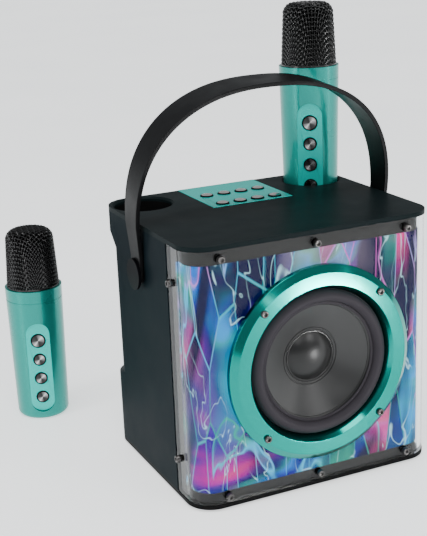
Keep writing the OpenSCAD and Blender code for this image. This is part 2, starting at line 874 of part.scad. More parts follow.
module at_board_posts() {
    for (x = [-1, 1], y = [-1, 1]) translate([0, (key_ys[0] + key_ys[1]) / 2, 0])
        translate([x * (1.5 * key_pitch_x + board_edge_x - board_post_in), 0, 0])
            translate([0, y * (key_pitch_y / 2 + board_edge_y - board_post_in), 0]) children();
}

module control_panel() {
    color("#3fb8b0") difference() {
        translate([-panel_w / 2, panel_front_y, cab_h - panel_recess])
            cube([panel_w, panel_d, panel_t]);
        at_keys() cylinder(h = far, d = key_d + 2 * loose);
    }
}

module top_key(column, row) {
    r = key_d / 2;
    rim_z = key_rim_z - key_rim_t;
    edge_z = panel_top_z + key_proud / 2;
    color("#d8dcdf") at_key(column, row) rotate_extrude() polygon([
        [0, rim_z - key_stem_h], [key_stem_r, rim_z - key_stem_h], [key_stem_r, rim_z],
        [r + key_rim, rim_z], [r + key_rim, key_rim_z], [r, key_rim_z], [r, edge_z],
        [r * 0.86, edge_z + key_proud * 0.26], [r * 0.6, edge_z + key_proud * 0.42],
        [0, edge_z + key_proud / 2],
    ]);
}

module power_button() { top_key(0, 0); }
module mode_button() { top_key(1, 0); }
module light_button() { top_key(2, 0); }
module echo_button() { top_key(3, 0); }
module previous_button() { top_key(0, 1); }
module play_button() { top_key(1, 1); }
module next_button() { top_key(2, 1); }
module record_button() { top_key(3, 1); }

module control_board() {
    color("#1f6b3a") {
        translate([-1.5 * key_pitch_x - board_edge_x, key_ys[0] - board_edge_y, board_z])
            cube([3 * key_pitch_x + 2 * board_edge_x, key_pitch_y + 2 * board_edge_y, board_t]);
        at_keys() translate([-switch_side / 2, -switch_side / 2, board_z + board_t - eps])
            cube([switch_side, switch_side, switch_h + eps]);
    }
}

// ---------- insides ----------

module main_board() {
    z = plate_z + standoff_h;
    top_z = z + board_t - eps;
    color("#1f6b3a") {
        translate([-main_board_w / 2, main_board_y - main_board_d / 2, z])
            cube([main_board_w, main_board_d, board_t]);
        translate([chip_x - chip_side / 2, main_board_y - chip_side / 2, top_z])
            cube([chip_side, chip_side, chip_h]);
        translate([plugs_x - plugs_w / 2, main_board_y - plugs_d, top_z])
            cube([plugs_w, plugs_d, plugs_h]);
    }
}

battery_w = 76;
battery_d = 38;
battery_h = 22;
battery_gap = 3;

module battery_pack() {
    color("#2d62a8") translate([-battery_w / 2, front_y + frame_back + battery_gap, plate_z])
        cube([battery_w, battery_d, battery_h]);
}

module light_boards() {
    side = window_side + 2 * light_board_edge;
    color("#e8e6dc") at_windows() {
        translate([-side / 2, 0, -side / 2]) cube([side, light_board_t, side]);
        for (x = [-1, 1], z = [-1, 1]) translate([x * window_side / 4, 0, z * window_side / 4])
            translate([-led_side / 2, eps - led_h, -led_side / 2]) cube([led_side, led_h, led_side]);
    }
}

// ---------- rear ----------

// Sockets and switch on a board behind the rear cover, at distances from its middle
jack_x = -34;
jack_r = 3.5;
jack_bore_r = 1.8;
port_x = -14;
port_w = 10;
port_h = 4;
port_wall = 1;
port_bore = 6;
slider_x = 22;
slider_w = 14;
slider_d = 6;
slider_h = 10;
knob_w = 5;
knob_h = 4;
knob_proud = 1.5;
knob_gap = 0.3;
knob_edge_x = 3;
knob_edge_z = 2;
rear_board_h = 18;
rear_board_edge = 8;
rear_board_y = waist_y - 12;

module rear_cover() {
    color("#1b2125") difference() {
        intersection() {
            rear_block(loose, rear_t);
            translate([-far / 2, 0, 0]) cube([far, waist_y, far]);
        }
        at_rear_screws() translate([0, 0, -far / 2]) cylinder(h = far, r = rear_screw_r + screw_gap);
        translate([jack_x, 0, rear_z]) rotate([-90, 0, 0]) cylinder(h = far, r = jack_r + loose);
        translate([port_x - port_w / 2 - loose, 0, rear_z - port_h / 2 - loose])
            cube([port_w + 2 * loose, far, port_h + 2 * loose]);
        translate([slider_x - knob_w / 2 - knob_gap, 0, rear_z - knob_h / 2 - knob_gap])
            cube([knob_w + switch_travel + 2 * knob_gap, far, knob_h + 2 * knob_gap]);
    }
}

module rear_cover_screws() {
    color("#8a8f94") at_rear_screws() {
        cylinder(h = rear_head_t, r = rear_head_r);
        translate([0, 0, -rear_screw_l]) cylinder(h = rear_screw_l + eps, r = rear_screw_r);
    }
}

module rear_sockets() {
    depth = waist_y - rear_board_y;
    slider_mid = slider_x + switch_travel / 2;
    board_w = slider_mid + slider_w / 2 - jack_x + 2 * rear_board_edge;
    color("#23272a") difference() {
        union() {
            translate([jack_x - rear_board_edge, rear_board_y, rear_z - rear_board_h / 2])
                cube([board_w, board_t, rear_board_h]);
            translate([jack_x, rear_board_y, rear_z]) rotate([-90, 0, 0])
                cylinder(h = depth, r = jack_r);
            translate([port_x - port_w / 2, rear_board_y, rear_z - port_h / 2])
                cube([port_w, depth, port_h]);
            translate([slider_mid - slider_w / 2, rear_board_y, rear_z - slider_h / 2])
                cube([slider_w, slider_d, slider_h]);
        }
        translate([jack_x, rear_board_y + 2 * board_t, rear_z]) rotate([-90, 0, 0])
            cylinder(h = far, r = jack_bore_r);
        translate([port_x, waist_y - port_bore, rear_z])
            translate([port_wall - port_w / 2, 0, port_wall - port_h / 2])
                cube([port_w - 2 * port_wall, far, port_h - 2 * port_wall]);
    }
}

module power_switch() {
    y0 = rear_board_y + slider_d + knob_gap;
    color("#111315") {
        translate([slider_x - knob_w / 2 - knob_edge_x, y0, rear_z - knob_h / 2 - knob_edge_z])
            cube([
                knob_w + 2 * knob_edge_x, waist_y - rear_t - knob_gap - y0, knob_h + 2 * knob_edge_z,
            ]);
        translate([slider_x - knob_w / 2, y0, rear_z - knob_h / 2])
            cube([knob_w, waist_y + knob_proud - y0, knob_h]);
    }
}

// ---------- microphones ----------

module held() {
    translate([cup_x, cup_y, cup_floor_z + 0.1]) rotate([0, 0, held_turn]) children();
}

module standing() {
    translate([standing_x, standing_y, 0]) rotate([0, 0, standing_turn]) children();
}

// Prism of the button panel's outline, from its back at y = 0 to the front
module mic_panel_prism(grow, depth) {
    r = mic_panel_w / 2 + grow;
    up = mic_panel_h / 2 - mic_panel_w / 2;
    translate([0, 0, mic_panel_z]) rotate([90, 0, 0]) linear_extrude(depth) {
        translate([-r, -up]) square([2 * r, 2 * up]);
        for (s = [-1, 1]) translate([0, s * up]) circle(r);
    }
}

module mic_body() {
    color("#159a92") difference() {
        intersection() {
            cylinder(h = mic_body_h, r1 = mic_r(0), r2 = mic_r(mic_body_h));
            rotate_extrude() {
                square([mic_r(0) - mic_edge_r, mic_body_h]);
                translate([0, mic_edge_r]) square([mic_top_d, mic_body_h]);
                translate([mic_r(0) - mic_edge_r, mic_edge_r]) circle(mic_edge_r);
            }
        }
        // inside, closed above by a web that carries the capsule
        translate([0, 0, mic_floor]) cylinder(
            h = mic_web_z - mic_web_t - mic_floor,
            r1 = mic_r(mic_floor) - mic_wall,
            r2 = mic_r(mic_web_z - mic_web_t) - mic_wall
        );
        translate([0, 0, mic_web_z]) cylinder(h = far, r = grille_d / 2 - grille_t);
        // window for the button panel, and a groove under the collar
        translate([0, -mic_board_y, 0]) mic_panel_prism(loose / 2, mic_top_d);
        translate([0, 0, mic_body_h - collar_h]) rotate_extrude()
            translate([mic_r(mic_body_h - collar_h) - groove, 0]) square([mic_wall, 2 * groove]);
    }
}

module mic_panel() {
    color("#149089") difference() {
        translate([0, mic_panel_t - mic_panel_y(0), 0]) rotate([mic_taper, 0, 0])
            mic_panel_prism(0, mic_panel_t);
        for (i = [0:3]) translate([0, 0, mic_key_at(i)]) rotate([90, 0, 0])
            cylinder(h = mic_top_d, d = mic_key_dia(i) + 2 * loose);
    }
}

module mic_key(i) {
    r = mic_key_dia(i) / 2;
    stem_y = mic_switch_y + mic_key_travel + loose;
    back_y = mic_rim_y(i) - mic_rim_t;
    face_y = mic_panel_y(mic_key_at(i)) + mic_key_proud;
    color("#c9ced2") translate([0, 0, mic_key_at(i)]) rotate([90, 0, 0]) rotate_extrude() polygon([
        [0, stem_y], [key_stem_r, stem_y], [key_stem_r, back_y], [r + mic_rim, back_y],
        [r + mic_rim, mic_rim_y(i)], [r, mic_rim_y(i)], [r, face_y - mic_key_edge],
        [r - mic_key_edge, face_y], [0, face_y],
    ]);
}

// Outline of the grille from its foot up, thinned from outside
module grille_outline(thin) {
    top = mic_body_h + grille_h;
    edge_z = top - grille_edge_r;
    flat_r = grille_top_d / 2 - grille_edge_r;
    polygon([
        [0, mic_body_h - thin], [grille_d / 2 - thin, mic_body_h - thin],
        [grille_top_d / 2 - thin, edge_z], [flat_r, top - thin], [0, top - thin],
    ]);
    translate([flat_r, edge_z]) intersection() {
        circle(grille_edge_r - thin);
        square([grille_edge_r, grille_edge_r]);
    }
}

module mic_grille() {
    neck_r = grille_d / 2 - grille_t - 0.1;
    color("#1a1b1d") rotate_extrude() {
        difference() {
            grille_outline(0);
            grille_outline(grille_t);
        }
        translate([neck_r - grille_t, mic_web_z])
            square([grille_t, mic_body_h - mic_web_z + grille_t]);
        translate([neck_r - grille_t, mic_body_h])
            square([grille_d / 2 - grille_t / 2 - neck_r + grille_t, grille_t]);
    }
}

module mic_capsule() {
    color("#9a9da0") translate([0, 0, mic_web_z]) cylinder(h = capsule_h, r = capsule_r);
}

module mic_board() {
    color("#1f6b3a") {
        translate([-mic_board_w / 2, -mic_board_y, mic_floor + 1])
            cube([mic_board_w, board_t, mic_board_h]);
        for (i = [0:3])
            translate([-mic_switch_side / 2, -mic_switch_y, mic_key_at(i) - mic_switch_side / 2])
                cube([mic_switch_side, mic_switch_y - mic_board_y + eps, mic_switch_side]);
    }
}

module held_mic_body() { held() mic_body(); }
module held_mic_grille() { held() mic_grille(); }
module held_mic_panel() { held() mic_panel(); }
module held_mic_power_button() { held() mic_key(0); }
module held_mic_up_button() { held() mic_key(1); }
module held_mic_down_button() { held() mic_key(2); }
module held_mic_voice_button() { held() mic_key(3); }
module held_mic_capsule() { held() mic_capsule(); }
module held_mic_board() { held() mic_board(); }
module standing_mic_body() { standing() mic_body(); }
module standing_mic_grille() { standing() mic_grille(); }
module standing_mic_panel() { standing() mic_panel(); }
module standing_mic_power_button() { standing() mic_key(0); }
module standing_mic_up_button() { standing() mic_key(1); }
module standing_mic_down_button() { standing() mic_key(2); }
module standing_mic_voice_button() { standing() mic_key(3); }
module standing_mic_capsule() { standing() mic_capsule(); }
module standing_mic_board() { standing() mic_board(); }

base_ring();
bottom_plate();
cabinet_shell();
top_cover();
left_mic_cup();
right_mic_cup();
front_frame();
graphic_panel();
lens();
lens_spacers();
lens_screws();
trim_ring();
ring_screws();
driver_basket();
driver_magnet();
driver_surround();
driver_spider();
driver_cone();
dust_cap();
voice_coil();
control_panel();
power_button();
mode_button();
light_button();
echo_button();
previous_button();
play_button();
next_button();
record_button();
control_board();
main_board();
battery_pack();
light_boards();
rear_cover();
rear_cover_screws();
bottom_screws();
rear_sockets();
power_switch();
handle_pins();
handle_spacers();
handle_strap();
held_mic_body();
held_mic_grille();
held_mic_panel();
held_mic_power_button();
held_mic_up_button();
held_mic_down_button();
held_mic_voice_button();
held_mic_capsule();
held_mic_board();
standing_mic_body();
standing_mic_grille();
standing_mic_panel();
standing_mic_power_button();
standing_mic_up_button();
standing_mic_down_button();
standing_mic_voice_button();
standing_mic_capsule();
standing_mic_board();
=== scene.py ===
"""A portable karaoke speaker with a lit front, a strap handle and two cordless microphones.

The scene is in metres, +Z up, the front facing -Y, the origin on the floor under the middle
of the cabinet. Pieces are worked out in millimetres and scaled once, in piece(). What the
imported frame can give, such as a place, a radius or a turn, is read from it.
"""
import json
import math

import bpy
from mathutils import Matrix, Vector


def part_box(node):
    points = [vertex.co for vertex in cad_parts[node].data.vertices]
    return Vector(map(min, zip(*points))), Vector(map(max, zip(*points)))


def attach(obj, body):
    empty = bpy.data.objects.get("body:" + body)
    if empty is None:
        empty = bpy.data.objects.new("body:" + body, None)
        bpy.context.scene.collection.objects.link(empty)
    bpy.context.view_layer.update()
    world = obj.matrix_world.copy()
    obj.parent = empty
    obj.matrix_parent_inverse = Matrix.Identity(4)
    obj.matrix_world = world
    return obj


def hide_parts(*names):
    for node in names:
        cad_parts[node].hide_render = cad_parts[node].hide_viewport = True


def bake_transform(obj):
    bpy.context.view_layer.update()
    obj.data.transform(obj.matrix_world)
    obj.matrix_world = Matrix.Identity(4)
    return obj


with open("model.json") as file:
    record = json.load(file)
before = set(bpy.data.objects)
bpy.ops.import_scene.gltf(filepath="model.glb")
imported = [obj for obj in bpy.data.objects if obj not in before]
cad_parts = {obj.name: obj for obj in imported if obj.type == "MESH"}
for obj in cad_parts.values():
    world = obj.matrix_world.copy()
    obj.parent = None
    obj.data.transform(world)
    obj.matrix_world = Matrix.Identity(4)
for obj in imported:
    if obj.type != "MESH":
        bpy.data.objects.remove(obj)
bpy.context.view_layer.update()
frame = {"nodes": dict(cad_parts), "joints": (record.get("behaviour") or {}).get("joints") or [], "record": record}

MM = 0.001
SLOT_OF = {part["node"]: part["material_slot"] for part in frame["record"]["subparts"]}
JOINTS = {joint["name"]: joint for joint in frame["joints"]}

# Sizes in millimetres that the frame's boxes don't give
SCREW_D = 3.0
SCREW_HEAD_D = 5.5
SCREW_HEAD_H = 3.0
LENS_SCREW_X = 75.0
LENS_SIDE_SCREW_Y = -51.0
LENS_SIDE_SCREW_Z = 67.0
LENS_SCREW_SHANK = 10
RING_SCREW_R = 66.5
RING_SCREW_SHANK = 18
CONE_SLOPE = 0.5
CONE_T = 0.8
RING_IN_R = 54.8
RING_CONE = 4.2
RING_CHAMFER = 5.0
RING_CHAMFER_D = 4.0
RING_PROUD = 8.0
RING_COLLAR_R = 70.0
RING_SEAT_R = 63.3
RING_LIP_R = 58.4
ROLL_MIDDLE = 50.0
ROLL_R = 4.5
RUBBER_T = 0.8
COVER_T = 3.5
KEY_R = 5.15
KEY_STEM_R = 2.0
KEY_DOME_H = 0.9
MIC_BODY_H = 115.4
MIC_FLARE = 2.25
MIC_KEYS = ("power", "up", "down", "voice")
MIC_KEY_Z = 71.7
MIC_KEY_PITCH = 17.03
MIC_KEY_D = (12.0, 10.4, 10.4, 10.4)
MIC_PANEL_SINK = 2.1
MIC_PANEL_T = 2.2
MIC_KEY_PROUD = 0.8
GRILLE_FOOT_R = 22.25
GRILLE_TOP_R = 20.3
GRILLE_H = 49.5
GRILLE_EDGE_R = 9.0
WIRE_D = 1.1
WIRE_PITCH = 3.4
WIRE_SIDES = 5
CLOTH_EVEN_R = 10
CLOTH_CHANGE = 26
CLOTH_DRAW = 0.6


def mm_box(node):
    """Lowest and highest corner of a CAD node in millimetres."""
    low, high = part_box(node)
    return low / MM, high / MM


WOOFER_Z = sum(corner.z for corner in mm_box("trim_ring")) / 2
MIDDLE_Z = (mm_box("top_cover")[1].z + mm_box("base_ring")[1].z) / 2


# ---------------------------------------------------------------- camera, floor and light
CAMERA_AT = Vector((-0.3992, -0.7808, 0.4170))
CAMERA_AZIMUTH = math.radians(-24.54)
CAMERA_ELEVATION = math.radians(16.95)
CAMERA_ROLL = math.radians(-2.37)
CAMERA_LENS_MM = 79.9
SENSOR_MM = 36.0
FLOOR_HALF = 30.0
FAR_CLIP = 60.0


def add_object(name, data):
    made = bpy.data.objects.new(name, data)
    bpy.context.scene.collection.objects.link(made)
    return made


def make_camera():
    back = Vector((
        math.sin(CAMERA_AZIMUTH) * math.cos(CAMERA_ELEVATION),
        -math.cos(CAMERA_AZIMUTH) * math.cos(CAMERA_ELEVATION),
        math.sin(CAMERA_ELEVATION),
    ))
    level = Vector((math.cos(CAMERA_AZIMUTH), math.sin(CAMERA_AZIMUTH), 0))
    upright = back.cross(level)
    right = level * math.cos(CAMERA_ROLL) + upright * math.sin(CAMERA_ROLL)
    up = upright * math.cos(CAMERA_ROLL) - level * math.sin(CAMERA_ROLL)
    data = bpy.data.cameras.new("camera")
    data.sensor_width = SENSOR_MM
    data.lens = CAMERA_LENS_MM
    data.clip_end = FAR_CLIP
    camera = add_object("camera", data)
    turn = Matrix((right, up, back)).transposed().to_4x4()
    camera.matrix_world = Matrix.Translation(CAMERA_AT) @ turn
    bpy.context.scene.camera = camera


def aimed(light, at, aim):
    light.location = at
    light.rotation_euler = (Vector(aim) - Vector(at)).to_track_quat("-Z", "Y").to_euler()


def area_light(name, at, aim, size, watts):
    data = bpy.data.lights.new(name, "AREA")
    data.shape = "RECTANGLE"
    data.size, data.size_y = size
    data.energy = watts
    light = add_object(name, data)
    aimed(light, at, aim)
    return light


def make_lights():
    world = bpy.data.worlds.new("studio")
    world.use_nodes = True
    background = world.node_tree.nodes["Background"]
    background.inputs["Color"].default_value = (0.93, 0.97, 1, 1)
    background.inputs["Strength"].default_value = 0.45
    bpy.context.scene.world = world
    overhead = bpy.data.lights.new("overhead", "SUN")
    overhead.energy = 1.3
    overhead.angle = math.radians(30)
    aimed(add_object("overhead", overhead), (-0.35, -0.35, 2), (0, 0, 0))
    middle = (0, 0, 0.1)
    area_light("key_softbox", (-0.35, -1.5, 1.15), middle, (0.7, 0.5), 6)
    area_light("left_strip", (-1.25, -0.1, 0.5), middle, (0.25, 0.9), 5)
    area_light("right_strip", (1.1, -0.75, 0.5), middle, (0.3, 1.0), 3)
    area_light("right_softbox", (0.62, -1.2, 0.9), middle, (0.5, 0.4), 5)
    # a small window for the glint on the polished ring
    on_ring = (0.03, -0.0905, 0.16)
    window = area_light("window", (0.171, -0.37, 0.039), on_ring, (0.045, 0.024), 0.6)
    window.visible_diffuse = False


def make_floor():
    mesh = bpy.data.meshes.new("floor")
    far = FLOOR_HALF
    corners = [(-far, -far, 0), (far, -far, 0), (far, far, 0), (-far, far, 0)]
    mesh.from_pydata(corners, [], [(0, 1, 2, 3)])
    floor = add_object("floor", mesh)
    mesh.materials.append(floor_material())


# ---------------------------------------------------------------- materials
def new_material(name):
    material = bpy.data.materials.new(name)
    material.use_nodes = True
    tree = material.node_tree
    return material, tree, tree.nodes["Principled BSDF"]


def add(tree, kind, **settings):
    node = tree.nodes.new(kind)
    for key, value in settings.items():
        setattr(node, key, value)
    return node


def place_of(tree):
    return add(tree, "ShaderNodeTexCoord").outputs["Object"]


def noise(tree, scale, detail=3.0, vector=None, distortion=0.0):
    """Noise over the piece, with scale in features per metre."""
    node = add(tree, "ShaderNodeTexNoise")
    node.inputs["Scale"].default_value = scale
    node.inputs["Detail"].default_value = detail
    node.inputs["Distortion"].default_value = distortion
    tree.links.new(vector or place_of(tree), node.inputs["Vector"])
    return node.outputs["Fac"]


def ramp(tree, fac, stops, mode="LINEAR"):
    node = add(tree, "ShaderNodeValToRGB")
    node.color_ramp.interpolation = mode
    elements = node.color_ramp.elements
    while len(elements) < len(stops):
        elements.new(0.5)
    for element, (position, colour) in zip(elements, stops):
        element.position = position
        element.color = (*colour, 1) if isinstance(colour, tuple) else (colour, colour, colour, 1)
    tree.links.new(fac, node.inputs["Fac"])
    return node.outputs["Color"]


def bump(tree, height, strength, distance):
    node = add(tree, "ShaderNodeBump")
    node.inputs["Strength"].default_value = strength
    node.inputs["Distance"].default_value = distance
    tree.links.new(height, node.inputs["Height"])
    return node.outputs["Normal"]


def scaled(colour, factor):
    return tuple(min(1.0, channel * factor) for channel in colour)


def set_sockets(shader, sockets):
    for name, value in sockets.items():
        shader.inputs[name].default_value = value


def grained(name, colour, rough, grain=2600, depth=0.00006, spread=0.15, shift=0.06, sockets=None):
    """Moulded plastic or rubber: fine grain, slight patches of colour and gloss."""
    material, tree, shader = new_material(name)
    fine = noise(tree, grain, 2.0)
    patch = noise(tree, 45, 3.0)
    shades = [(0.3, scaled(colour, 1 - spread)), (0.7, scaled(colour, 1 + spread))]
    tree.links.new(ramp(tree, patch, shades), shader.inputs["Base Color"])
    gloss = ramp(tree, patch, [(0.3, rough - shift), (0.7, rough + shift)])
    tree.links.new(gloss, shader.inputs["Roughness"])
    tree.links.new(bump(tree, fine, 0.5, depth), shader.inputs["Normal"])
    set_sockets(shader, sockets or {})
    return material


def metallic_paint(name, colour, rough, sockets):
    """Paint with a fine metallic flake under a clear coat."""
    material, tree, shader = new_material(name)
    flake = noise(tree, 5200, 1.0)
    cloud = noise(tree, 30, 2.0)
    tint = ramp(tree, flake, [(0.35, scaled(colour, 0.85)), (0.65, scaled(colour, 1.2))])
    tree.links.new(tint, shader.inputs["Base Color"])
    gloss = ramp(tree, cloud, [(0.3, rough * 0.85), (0.7, rough * 1.15)])
    tree.links.new(gloss, shader.inputs["Roughness"])
    tree.links.new(bump(tree, flake, 0.15, 0.00002), shader.inputs["Normal"])
    set_sockets(shader, sockets)
    return material


def metal(name, colour, rough, scratch=900):
    material, tree, shader = new_material(name)
    fine = noise(tree, scratch, 4.0)
    tint = ramp(tree, fine, [(0.3, scaled(colour, 0.85)), (0.7, colour)])
    tree.links.new(tint, shader.inputs["Base Color"])
    gloss = ramp(tree, fine, [(0.3, rough * 0.7), (0.7, rough * 1.3)])
    tree.links.new(gloss, shader.inputs["Roughness"])
    set_sockets(shader, {"Metallic": 1.0})
    return material


def spun_metal():
    """Turned face of a button: fine rings, and painted highlights and painted shade in sectors round its middle.
    """
    material, tree, shader = new_material("spun_metal")
    where = place_of(tree)
    turn = add(tree, "ShaderNodeTexGradient", gradient_type="RADIAL")
    tree.links.new(where, turn.inputs["Vector"])
    # painted highlights and shade: the base colour is lighter and darker by angle round the middle, standing for
    # the reflections of a turned face
    painted_glint_sectors = ramp(tree, turn.outputs["Fac"], [
        (0.0, 0.05), (0.08, 0.28), (0.14, 0.6), (0.2, 0.2), (0.28, 0.03), (0.42, 0.05),
        (0.52, 0.2), (0.62, 0.55), (0.7, 0.2), (0.8, 0.03), (1.0, 0.05),
    ])
    rings = add(tree, "ShaderNodeTexWave", wave_type="RINGS", rings_direction="Z")
    rings.inputs["Scale"].default_value = 700
    tree.links.new(where, rings.inputs["Vector"])
    tree.links.new(painted_glint_sectors, shader.inputs["Base Color"])
    fine = rings.outputs["Fac"]
    tree.links.new(ramp(tree, fine, [(0, 0.22), (1, 0.32)]), shader.inputs["Roughness"])
    tree.links.new(bump(tree, fine, 0.25, 0.00003), shader.inputs["Normal"])
    set_sockets(shader, {"Metallic": 1.0})
    return material


def floor_material():
    material, tree, shader = new_material("pale_floor")
    cloud = noise(tree, 3, 4.0)
    shades = [(0.3, (0.88, 0.9, 0.91)), (0.7, (0.92, 0.935, 0.94))]
    tint = ramp(tree, cloud, shades)
    tree.links.new(tint, shader.inputs["Base Color"])
    tree.links.new(tint, shader.inputs["Emission Color"])
    set_sockets(shader, {"Roughness": 0.35, "Emission Strength": 1.1})
    return material


def clear_acrylic():
    material, tree, shader = new_material("clear_acrylic")
    cloud = noise(tree, 40, 2.0)
    tree.links.new(ramp(tree, cloud, [(0.3, 0.012), (0.7, 0.03)]), shader.inputs["Roughness"])
    tint = ramp(tree, cloud, [(0.3, (0.96, 0.98, 0.99)), (0.7, (0.98, 1.0, 1.0))])
    tree.links.new(tint, shader.inputs["Base Color"])
    set_sockets(shader, {"Transmission Weight": 1.0, "IOR": 1.22})
    return material


def lit_picture():
    """Printed sheet, lit from behind: blurred colour, slanting panes, folds and fine lines."""
    material, tree, shader = new_material("lit_picture")
    links = tree.links
    place = add(tree, "ShaderNodeSeparateXYZ")
    links.new(place_of(tree), place.inputs["Vector"])

    def math_node(kind, *values):
        node = add(tree, "ShaderNodeMath", operation=kind)
        for socket, value in zip(node.inputs, values):
            if isinstance(value, (int, float)):
                socket.default_value = value
            else:
                links.new(value, socket)
        return node.outputs["Value"]

    # past the corners the sheet runs on along the sides, so its width is laid out flat
    corner_y = mm_box("graphic_panel")[0].y * MM
    side = math_node("SIGN", place.outputs["X"])
    wing = math_node("SUBTRACT", place.outputs["Y"], corner_y)
    across = math_node("ADD", place.outputs["X"], math_node("MULTIPLY", side, wing))
    flat = add(tree, "ShaderNodeCombineXYZ")
    links.new(across, flat.inputs["X"])
    links.new(place.outputs["Z"], flat.inputs["Y"])

    def stretched(angle, scale_x, scale_y, shift=0.0):
        node = add(tree, "ShaderNodeMapping")
        node.inputs["Rotation"].default_value = (0, 0, math.radians(angle))
        node.inputs["Scale"].default_value = (scale_x, scale_y, 1)
        node.inputs["Location"].default_value = (shift, shift * 0.7, shift * 1.9)
        links.new(flat.outputs["Vector"], node.inputs["Vector"])
        return node.outputs["Vector"]

    def mixed(fac, a, b):
        """Colour a going over to colour b. Sockets 0, 6 and 7 are the factor and both colours."""
        node = add(tree, "ShaderNodeMix", data_type="RGBA")
        for socket, value in zip((0, 6, 7), (fac, a, b)):
            if isinstance(value, tuple):
                node.inputs[socket].default_value = (*value, 1)
            else:
                links.new(value, node.inputs[socket])
        return node.outputs[2]

    def shards(feature, output):
        node = add(tree, "ShaderNodeTexVoronoi", voronoi_dimensions="2D", feature=feature)
        node.inputs["Scale"].default_value = 1
        links.new(stretched(-38, 52, 13, 0.6), node.inputs["Vector"])
        return node.outputs[output]

    base = ramp(tree, noise(tree, 1, 2.0, stretched(24, 7, 12), 1.3), [
        (0.28, (0.0, 0.0, 0.06)), (0.36, (0.0, 0.0, 0.4)), (0.42, (0.0, 0.28, 0.9)),
        (0.47, (0.0, 0.3, 0.25)), (0.52, (0.0, 0.0, 0.12)), (0.58, (0.12, 0.0, 0.3)),
        (0.65, (0.6, 0.0, 0.3)), (0.73, (1.0, 0.16, 0.02)),
    ])
    pick = add(tree, "ShaderNodeSeparateColor")
    links.new(shards("F1", "Color"), pick.inputs["Color"])
    panes = ramp(tree, pick.outputs["Red"], [
        (0.0, (0.0, 0.0, 0.1)), (0.16, (0.0, 0.04, 0.7)), (0.3, (0.0, 0.4, 0.8)),
        (0.42, (0.0, 0.02, 0.3)), (0.52, (0.0, 0.35, 0.22)), (0.62, (0.12, 0.0, 0.4)),
        (0.74, (0.5, 0.0, 0.45)), (0.84, (0.02, 0.0, 0.2)), (0.93, (0.9, 0.05, 0.3)),
        (1.0, (1.0, 0.3, 0.02)),
    ], "CONSTANT")
    where_panes = ramp(tree, noise(tree, 1, 2.0, stretched(50, 9, 9, 4.2), 0.5), [
        (0.42, 0.15), (0.56, 0.75),
    ])
    seams = ramp(tree, shards("DISTANCE_TO_EDGE", "Distance"), [
        (0.0, 0.9), (0.012, 0.5), (0.022, 0),
    ])
    shade = ramp(tree, noise(tree, 1, 2.5, stretched(-60, 14, 5, 3.1), 1.0), [
        (0.44, 0.0), (0.54, 1.0),
    ])
    fold = ramp(tree, noise(tree, 1, 3.0, stretched(20, 15, 6, 0.4), 1.0), [
        (0.485, 0), (0.5, 1), (0.508, 0.25), (0.54, 0),
    ])
    bright = ramp(tree, noise(tree, 1, 2.0, stretched(40, 10, 8, 1.3), 0.6), [
        (0.36, (0.0, 0.45, 0.3)), (0.46, (0.05, 0.6, 1.0)), (0.56, (0.9, 0.1, 0.7)),
        (0.68, (1.0, 0.3, 0.05)),
    ])
    glow = ramp(tree, noise(tree, 1, 1.5, stretched(10, 9, 6, 2.1), 0.2), [
        (0.62, 0), (0.78, 0.7),
    ])
    fine = ramp(tree, noise(tree, 1, 3.0, stretched(15, 34, 12, 0.9), 0.8), [
        (0.492, 0), (0.5, 0.8), (0.505, 0),
    ])
    colour = mixed(where_panes, base, panes)
    colour = mixed(shade, (0.0, 0.0, 0.04), colour)
    colour = mixed(fold, colour, bright)
    colour = mixed(glow, colour, (1.0, 0.75, 0.85))
    colour = mixed(fine, colour, (0.5, 0.9, 1.0))
    colour = mixed(seams, colour, bright)
    # the print itself is dark, and the light behind it gives the colour
    darkened = ramp(tree, fine, [(0, 0.93), (1, 0.88)])
    links.new(mixed(darkened, colour, (0.0, 0.0, 0.0)), shader.inputs["Base Color"])
    links.new(colour, shader.inputs["Emission Color"])
    set_sockets(shader, {"Emission Strength": 1.25, "Roughness": 0.5, "Specular IOR Level": 0.0})
    return material


TEAL = (0.0, 0.24, 0.2)
SATIN_TEAL = (0.0, 0.56, 0.49)
MIC_TEAL = (0.0, 0.26, 0.22)


